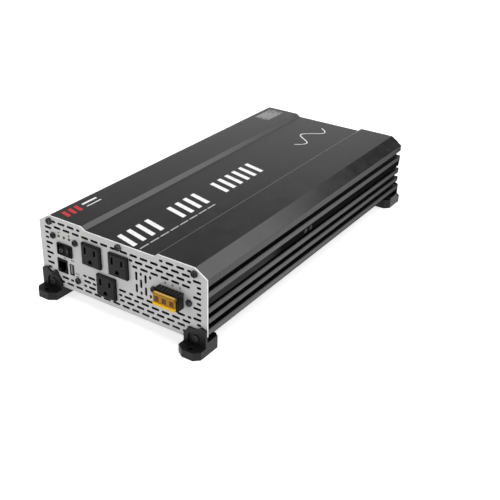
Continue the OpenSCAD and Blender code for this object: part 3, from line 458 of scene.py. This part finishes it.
def round_edges(name, width):
    """Small real roundings on a CAD node's edges, made by modifiers on top of its mesh."""
    obj = nodes[name]
    weld = obj.modifiers.new("weld", "WELD")
    weld.merge_threshold = WELD_WITHIN
    bevel = obj.modifiers.new("bevel", "BEVEL")
    bevel.width = width
    bevel.segments = 2
    bevel.limit_method = "ANGLE"
    bevel.angle_limit = SHARP_ANGLE
    bevel.harden_normals = True


ROUNDED = {
    0.6 * MM: ("foot_front_left", "foot_front_right", "foot_rear_left", "foot_rear_right"),
    0.3 * MM: ("housing", "socket_left", "socket_right", "socket_lower", "switch_bezel",
               "terminal_block", "terminal_cover", "stud_nuts", "ground_nut", "switch_rocker"),
    0.15 * MM: ("front_panel_screws", "rear_panel_screws", "foot_screws", "block_screws",
                "control_board_screws", "fan_screws", "remote_port"),
}
for width, names in ROUNDED.items():
    for name in names:
        round_edges(name, width)


# ---------- Pieces added to the CAD nodes ----------

def piece(name, mesh, body, material, replaced=()):
    """Adds a mesh that rides on a body, in place of the CAD nodes in replaced."""
    obj = bpy.data.objects.new(name, mesh)
    bpy.context.scene.collection.objects.link(obj)
    mesh.materials.append(material)
    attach(obj, body)
    if replaced:
        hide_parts(*replaced)
    return obj


def flat_mesh(name, outlines, thickness, matrix):
    """Thin plates: each outline is a list of (u, v) points in millimetres, or a pair of an
    outer and an inner list with as many points. They lie in the XY plane of matrix."""
    bm = bmesh.new()
    for outline in outlines:
        rings = outline if isinstance(outline[0][0], (tuple, list)) else (outline,)
        levels = [[[bm.verts.new((u * MM, v * MM, z)) for u, v in ring] for ring in rings]
                  for z in (0.0, thickness)]
        low, high = levels
        count = len(rings[0])
        if len(rings) == 1:
            bm.faces.new(high[0])
            bm.faces.new(list(reversed(low[0])))
        for i in range(count):
            j = (i + 1) % count
            bm.faces.new((low[0][i], low[0][j], high[0][j], high[0][i]))
            if len(rings) == 2:
                bm.faces.new((low[1][j], low[1][i], high[1][i], high[1][j]))
                bm.faces.new((high[0][i], high[0][j], high[1][j], high[1][i]))
                bm.faces.new((low[0][j], low[0][i], low[1][i], low[1][j]))
    bmesh.ops.recalc_face_normals(bm, faces=bm.faces)
    mesh = bpy.data.meshes.new(name)
    bm.to_mesh(mesh)
    bm.free()
    mesh.transform(matrix)
    return mesh


def bar(x, y, w, h, slant=0.0):
    """A bar with its low left corner at x, y, leaning by slant over its height."""
    return [(x, y), (x + w, y), (x + w + slant, y + h), (x + slant, y + h)]


def rounded_box(x, y, w, h, r, steps=5):
    """A box with its low left corner at x, y and corners of radius r."""
    corners = ((x + w - r, y + h - r, 0), (x + r, y + h - r, 90), (x + r, y + r, 180),
               (x + w - r, y + r, 270))
    return [(cx + r * math.cos(math.radians(a + 90 * i / steps)),
             cy + r * math.sin(math.radians(a + 90 * i / steps)))
            for cx, cy, a in corners for i in range(steps + 1)]


def disc(r, steps=40):
    """A circle of radius r around the origin."""
    return [(r * math.cos(2 * math.pi * i / steps), r * math.sin(2 * math.pi * i / steps))
            for i in range(steps)]


def ink(name, colour, rough=0.45):
    """Screen-printed ink, slightly uneven."""
    n = Nodes(name)
    n.link(n.mix(n.ranged(n.noise(3 * MM, 5.0), 0.35, 0.7), colour,
                 tuple(c * 0.86 for c in colour)), n.shader.inputs["Base Color"])
    n.link(n.ranged(n.noise(5 * MM), 0.3, 0.7, rough - 0.05, rough + 0.08),
           n.shader.inputs["Roughness"])
    n.bump(n.noise(0.3 * MM), 0.006 * MM)
    return n.material


INK = 0.03 * MM  # thickness of printed ink
FILM = 0.02 * MM  # thickness of a label
LIFT = 0.005 * MM  # gap below ink and labels
white_ink = ink("white_ink", (0.86, 0.86, 0.86))
grey_ink = ink("grey_ink", (0.42, 0.42, 0.42))
dark_ink = ink("dark_ink", (0.06, 0.06, 0.06))
red_ink = ink("red_ink", (0.52, 0.012, 0.03))


def on_top(z):
    """Plates that lie on the housing, u across to the right and v towards the rear."""
    return Matrix.Translation((0, FRONT_Y, z + LIFT))


def on_front(y):
    """Plates that lie on the front panel, u to the right and v upwards from the floor."""
    return Matrix.Translation((0, y - LIFT, 0)) @ Matrix.Rotation(math.radians(90), 4, "X")


def on_rear(y):
    """Plates that lie on the rear panel, u to the left as seen from behind."""
    return (Matrix.Translation((0, y + LIFT, 0)) @ Matrix.Rotation(math.radians(180), 4, "Z")
            @ Matrix.Rotation(math.radians(90), 4, "X"))


def printed(name, outlines, matrix, material, thickness=INK, body="body"):
    """A thin piece lying on a surface."""
    return piece(name, flat_mesh(name, outlines, thickness, matrix), body, material)


def stroke(points, width):
    """A ribbon of the given width along a line of points, as one closed outline."""
    left, right = [], []
    for i, (x, y) in enumerate(points):
        ax, ay = points[max(i - 1, 0)]
        bx, by = points[min(i + 1, len(points) - 1)]
        dx, dy = bx - ax, by - ay
        size = math.hypot(dx, dy)
        nx, ny = -dy / size * width / 2, dx / size * width / 2
        left.append((x + nx, y + ny))
        right.append((x - nx, y - ny))
    return left + right[::-1]


def make_top_marks():
    """Plain stripes and a wave in the channel, and bars, lines and a label on one shelf."""
    channel, shelf, slot = on_top(CHANNEL_Z), on_top(TOP_Z), "anodised_black"
    band_pitch, band_right, band_left, band_slant = 14.2, 17, -11, 7.0
    bands = []
    for group, count in ((4, 4), (84, 4), (164, 6)):
        for i in range(count):
            start = group + i * band_pitch
            bands.append([(band_right, start), (band_right, start + 6.2),
                          (band_left, start + band_slant + 6.2),
                          (band_left, start + band_slant)])
    printed("channel_bands", bands, channel, white_ink)
    dashes = [bar(24.2, 4 + 16.2 * i, 1.7, 13.6) for i in range(8)]
    printed("channel_stripe", dashes, channel, grey_ink)
    wave_at, wave_swing, wave_start, wave_length, steps = 2.5, 11, 337, 72, 72
    wave = [(wave_at + wave_swing * math.sin(3 * math.pi * t / steps),
             wave_start + wave_length * t / steps) for t in range(steps + 1)]
    third = steps // 3
    parts = [stroke(wave[i:i + third + 1], 1.4) for i in range(0, steps, third)]
    printed("channel_wave", parts, channel, white_ink)
    printed("shelf_bars", [[(-76, y), (-76, y + 5), (-89, y + 8), (-89, y + 3)]
                           for y in (9, 18, 27)], shelf, red_ink)
    printed("shelf_lines", [bar(-87, 40, 3, 22), bar(-79, 40, 1.5, 22)], shelf, white_ink)
    film = ink("label_film", (0.105, 0.105, 0.11), 0.3)
    printed("shelf_label", [rounded_box(-90, 384, 23, 40, 1.2)], shelf, film, FILM)
    rows = [bar(-88 + 2.9 * i, 387 + (4 if i % 3 == 2 else 0), 1.2, 33 - (9 if i % 2 else 0))
            for i in range(7)]
    printed("shelf_label_rows", rows, on_top(TOP_Z + FILM), grey_ink, FILM)


def make_front_marks():
    """Short plain dashes beside the lamps, ports and terminals."""
    dash_h, pole_h = 1.3, 2.2
    dark = [bar(-84.2, 76.6, 2.4, 1.7), bar(-69.6, 76.6, 2.6, 1.9)]
    dark += [bar(x, 48.4, w, dash_h) for x, w in ((-78.5, 3.2), (-68.0, 5.0))]
    dark += [bar(x, 34.4, w, dash_h) for x, w in ((-62.4, 2.2), (-59.4, 2.0))]
    dark += [bar(-61.6, 31.0, 3.0, dash_h)]
    dark += [bar(x, 64.4, w, pole_h) for x, w in ((58.0, 2.0), (67.0, 2.2), (76.4, 1.8))]
    pale = [bar(-78.0, 76.6, 4.8, 1.6), bar(-84.0, 27.2, 6.6, dash_h)]
    printed("front_dashes", dark, on_front(FRONT_Y), dark_ink)
    printed("front_pale_dashes", pale, on_front(FRONT_Y), grey_ink)


def make_rear_marks():
    """A plus sign by the positive studs and a minus sign by the negative ones."""
    plus = [bar(85, 55.3, 6, 1.4), bar(87.3, 53, 1.4, 2.3), bar(87.3, 56.7, 1.4, 2.3)]
    minus = [bar(-91, 55.3, 6, 1.4)]
    printed("plus_sign", plus, on_rear(REAR_Y), red_ink)
    printed("minus_sign", minus, on_rear(REAR_Y), white_ink)


def box_mesh(name, boxes):
    """Boxes given by two opposite corners in millimetres."""
    bm = bmesh.new()
    for low, high in boxes:
        middle = [(a + b) / 2 * MM for a, b in zip(low, high)]
        size = [abs(b - a) * MM for a, b in zip(low, high)]
        bmesh.ops.create_cube(bm, size=1.0, matrix=Matrix.Translation(middle)
                              @ Matrix.Diagonal((*size, 1)))
    mesh = bpy.data.meshes.new(name)
    bm.to_mesh(mesh)
    bm.free()
    return mesh


def make_block_ribs():
    """Ridges across the top and down the right side of the terminal block, in a paler copy of
    its plastic as painted light.
    """
    top, bottom, left, right = 61.3, 44.3, 51.5, 81.5
    sunk, proud, ridge, reach, inset = 0.2, 0.45, 1.0, 7.2, 1.2
    front = FRONT_Y / MM
    across = [left + 0.4 + 4.17 * i for i in range(8)]
    down = [front - reach + 2.6 * i for i in range(3)]
    ribs = [((x, front - reach, top - sunk), (x + ridge, front - 0.3, top + proud))
            for x in across]
    ribs += [((right - sunk, y, bottom + inset), (right + proud, y + ridge, top - inset))
             for y in down]
    # Painted light: the ridges' plastic is paler than the block's, with rubbed and lit edges.
    worn_and_lit = shaded("block_rib_plastic", (0.020, 0.019, 0.018), 0.34, depth=0.015 * MM,
                  wear_and_glint=(0.7, (0.10, 0.095, 0.09)))
    piece("block_ribs", box_mesh("block_ribs", ribs), "body", worn_and_lit.material)


def make_usb_insulator():
    """Three black steps on the right side of the port's mouth."""
    front = FRONT_Y / MM
    left, right, mouth, depth = -67.1, -64.85, 0.2, 10
    steps = [((left, front + mouth, z), (right, front + depth, z + h))
             for z, h in ((31.7, 3.3), (35.7, 3.6), (40.0, 3.5))]
    piece("usb_insulator", box_mesh("usb_insulator", steps), "body",
          materials["port_plastic"])


def make_socket_marks():
    """Small pale marks under the openings of each socket, painted highlights where their
    ledges catch light.
    """
    base, blade_x, half, height = RIB_Z / MM, 12.7 / 2, 1.3, 0.9
    ledge_highlight_bars = []
    for x, z in ((-36.4, base + 44), (0.1, base + 44), (-17.8, base + 13.3)):
        ledge_highlight_bars += [bar(x - blade_x - half, z - 0.9, 2 * half, height),
                   bar(x + blade_x - half, z + 0.1, 2 * half, height),
                   bar(x - 2.0, z - 11.2, 4.0, height)]
    # Painted highlight: pale marks on the ledges under the openings.
    ledge_highlight_ink = ink("ledge_highlight_plastic", (0.085, 0.085, 0.088), 0.35)
    face = FRONT_Y - 3.2 * MM
    printed("ledge_highlights", ledge_highlight_bars, on_front(face), ledge_highlight_ink, 0.5 * MM)


# The rocker: its pivot, its turn at rest, and the slope and middle of each half of its face.
ROCKER_PIVOT = Vector((-75.2 * MM, FRONT_Y + 3.4 * MM, 59.2 * MM))
ROCKER_TURN = math.radians(9)
ROCKER_SLOPE = math.atan2(1.6, 7.2)
ROCKER_HALF_X, ROCKER_HALF_Y = 3.8 * MM, -6.22 * MM


def on_rocker(side):
    """The middle of the rocker face's left (-1) or right (1) half at rest."""
    turned = Matrix.Translation(ROCKER_PIVOT) @ Matrix.Rotation(ROCKER_TURN, 4, "Z")
    middle = turned @ Matrix.Translation((side * ROCKER_HALF_X, ROCKER_HALF_Y, 0))
    return (middle @ Matrix.Rotation(ROCKER_SLOPE * -side, 4, "Z")
            @ Matrix.Rotation(math.radians(90), 4, "X"))


def make_rocker_marks():
    """A ring on the rocker's left half and a bar on its right half."""
    proud = 0.06 * MM
    mark = ink("rocker_ink", (0.12, 0.12, 0.12))
    printed("rocker_ring", [(disc(1.9), disc(1.45))], on_rocker(-1), mark,
            proud, "rocker")
    printed("rocker_bar", [bar(-0.3, -1.9, 0.6, 3.8)], on_rocker(1), mark,
            proud, "rocker")


def threaded(bm, x, z, y_low, y_high, major, minor, pitch):
    """A screw thread along +Y with a chamfered end, added to bm."""
    sides, rows_per_turn, chamfer_slope = 40, 6, 1.2
    rows = int((y_high - y_low) / (pitch / rows_per_turn))
    rings = []
    for i in range(rows + 1):
        y = y_low + (y_high - y_low) * i / rows
        end_radius = minor + max(0.0, y_high - y) * chamfer_slope
        ring = []
        for k in range(sides):
            angle = 2 * math.pi * k / sides
            phase = (y / pitch - k / sides) % 1.0
            ridge = 1 - abs(2 * phase - 1)
            thread_radius = minor + (major - minor) * min(1.0, max(0.0, 1.5 * ridge - 0.2))
            r = min(thread_radius, end_radius)
            ring.append(bm.verts.new(((x + r * math.cos(angle)) * MM, y * MM,
                                      (z + r * math.sin(angle)) * MM)))
        rings.append(ring)
    for a, b in zip(rings, rings[1:]):
        for k in range(sides):
            j = (k + 1) % sides
            bm.faces.new((a[k], b[k], b[j], a[j]))
    bm.faces.new(rings[0])
    bm.faces.new(rings[-1][::-1])


# Each stud node: its places across and in height, its reach before and behind the rear panel,
# its outer and root radius and its thread's pitch.
STUDS = {
    "battery_studs": (((-88, 41), (-88, 71), (88, 41), (88, 71)), -24, 23.5, 4.0, 3.4, 1.25),
    "ground_stud": (((0, 26),), -12, 15.6, 3.0, 2.5, 1.0),
}


def make_studs():
    """Studs with real threads in place of the plain ones."""
    rear = REAR_Y / MM
    for node, (places, low, high, major, minor, pitch) in STUDS.items():
        name = "threaded_" + node
        bm = bmesh.new()
        for x, z in places:
            threaded(bm, x, z, rear + low, rear + high, major, minor, pitch)
        bmesh.ops.recalc_face_normals(bm, faces=bm.faces)
        mesh = bpy.data.meshes.new(name)
        bm.to_mesh(mesh)
        bm.free()
        piece(name, mesh, "body", materials["brass_parts"], (node,))


# Fans: thickness of the rear panel and of a frame, depth of a hub, and a hub's middle.
PANEL_THICK, FRAME_THICK, HUB_DEPTH = 1.2 * MM, 25 * MM, 20 * MM
FAN_X, FAN_Z = 36 * MM, 52 * MM


def make_fan_labels():
    """A plain round label on each fan's hub."""
    film = ink("fan_label_film", (0.20, 0.20, 0.205), 0.28)
    rim = ink("fan_label_rim", (0.55, 0.55, 0.55), 0.28)
    hub_face = REAR_Y - PANEL_THICK - FRAME_THICK + HUB_DEPTH
    for side, across in (("left", FAN_X), ("right", -FAN_X)):
        place = on_rear(hub_face) @ Matrix.Translation((across, FAN_Z, 0))
        body = "rotor_" + side
        printed("hub_label_" + side, [disc(9.5)], place, film, INK, body)
        printed("hub_ring_" + side, [(disc(10.6), disc(9.7))], place, rim,
                INK, body)


make_top_marks()
make_front_marks()
make_block_ribs()
make_usb_insulator()
make_socket_marks()
make_rocker_marks()
make_studs()
make_fan_labels()
make_rear_marks()


# ---------- Light, floor and camera ----------

def area_light(name, at, towards, size, power):
    """A white softbox at one point, looking towards another."""
    data = bpy.data.lights.new(name, "AREA")
    data.shape = "RECTANGLE"
    data.size, data.size_y = size
    data.energy = power
    lamp = bpy.data.objects.new(name, data)
    bpy.context.scene.collection.objects.link(lamp)
    lamp.location = at
    lamp.rotation_mode = "QUATERNION"
    lamp.rotation_quaternion = (Vector(towards) - Vector(at)).to_track_quat("-Z", "Y")


def make_floor():
    """A wide sheet of white paper under the feet, lit a little from within."""
    half = 9.0
    mesh = bpy.data.meshes.new("floor")
    mesh.from_pydata([(-half, -half, 0), (half, -half, 0), (half, half, 0), (-half, half, 0)],
                     [], [(0, 1, 2, 3)])
    floor = bpy.data.objects.new("floor", mesh)
    bpy.context.scene.collection.objects.link(floor)
    n = Nodes("floor_paper")
    n.link(n.mix(n.ranged(n.noise(0.4), 0.3, 0.7), (0.60, 0.60, 0.60), (0.63, 0.63, 0.63)),
           n.shader.inputs["Base Color"])
    n.shader.inputs["Roughness"].default_value = 0.7
    n.shader.inputs["Specular IOR Level"].default_value = 0.2
    n.shader.inputs["Emission Color"].default_value = (1, 1, 1, 1)
    n.shader.inputs["Emission Strength"].default_value = 0.75
    mesh.materials.append(n.material)


def make_world():
    """A white studio that is pale near the horizon and dim above."""
    world = bpy.data.worlds.new("studio")
    bpy.context.scene.world = world
    world.use_nodes = True
    tree = world.node_tree
    background = tree.nodes["Background"]
    coords = tree.nodes.new("ShaderNodeTexCoord")
    xyz = tree.nodes.new("ShaderNodeSeparateXYZ")
    tree.links.new(coords.outputs["Generated"], xyz.inputs[0])
    ramp = tree.nodes.new("ShaderNodeValToRGB")
    tree.links.new(xyz.outputs["Z"], ramp.inputs["Fac"])
    low, high = ramp.color_ramp.elements
    low.position, high.position = WORLD_FADE
    low.color = (WORLD_LOW, WORLD_LOW, WORLD_LOW, 1)
    high.color = (WORLD_HIGH, WORLD_HIGH, WORLD_HIGH, 1)
    tree.links.new(ramp.outputs["Color"], background.inputs["Color"])


def make_camera():
    """The camera of the product view, turned by its azimuth, elevation and roll."""
    azimuth, elevation, roll = CAMERA_ANGLES
    back = Vector((math.sin(azimuth) * math.cos(elevation),
                   -math.cos(azimuth) * math.cos(elevation), math.sin(elevation)))
    right = (-back).cross(Vector((0, 0, 1))).normalized()
    up = back.cross(right)
    turned_right = right * math.cos(roll) + up * math.sin(roll)
    turned_up = up * math.cos(roll) - right * math.sin(roll)
    data = bpy.data.cameras.new("camera")
    data.lens, data.sensor_width = CAMERA_LENS, CAMERA_SENSOR
    camera = bpy.data.objects.new("camera", data)
    bpy.context.scene.collection.objects.link(camera)
    turn = Matrix((turned_right, turned_up, back)).transposed().to_4x4()
    camera.matrix_world = Matrix.Translation(CAMERA_AT) @ turn
    bpy.context.scene.camera = camera


WORLD_LOW, WORLD_HIGH = 0.95, 0.03  # brightness near the horizon and overhead
WORLD_FADE = (math.sin(math.radians(16)), math.sin(math.radians(25)))
CAMERA_ANGLES = [math.radians(angle) for angle in (32.84, 28.39, 1.46)]
CAMERA_AT = (0.51715, -0.77819, 0.49211)
CAMERA_LENS, CAMERA_SENSOR = 61.5775, 36
make_world()
make_floor()
area_light("overhead", (0.75, 0.80, 1.9), (0.75, 0.80, 0), (3.1, 3.1), 80)
area_light("rear_left", (-1.64, 1.95, 1.6), (0, 0, 0.05), (1.8, 1.1), 1.1)
area_light("front_left", (-0.75, -1.1, 0.5), (-0.09, -0.2, 0.05), (0.5, 0.4), 3.6)
area_light("front_right", (1.3, -0.9, 0.5), (0.1, -0.15, 0.05), (0.8, 0.6), 0.7)
make_camera()
bpy.context.scene.view_settings.view_transform = "Standard"
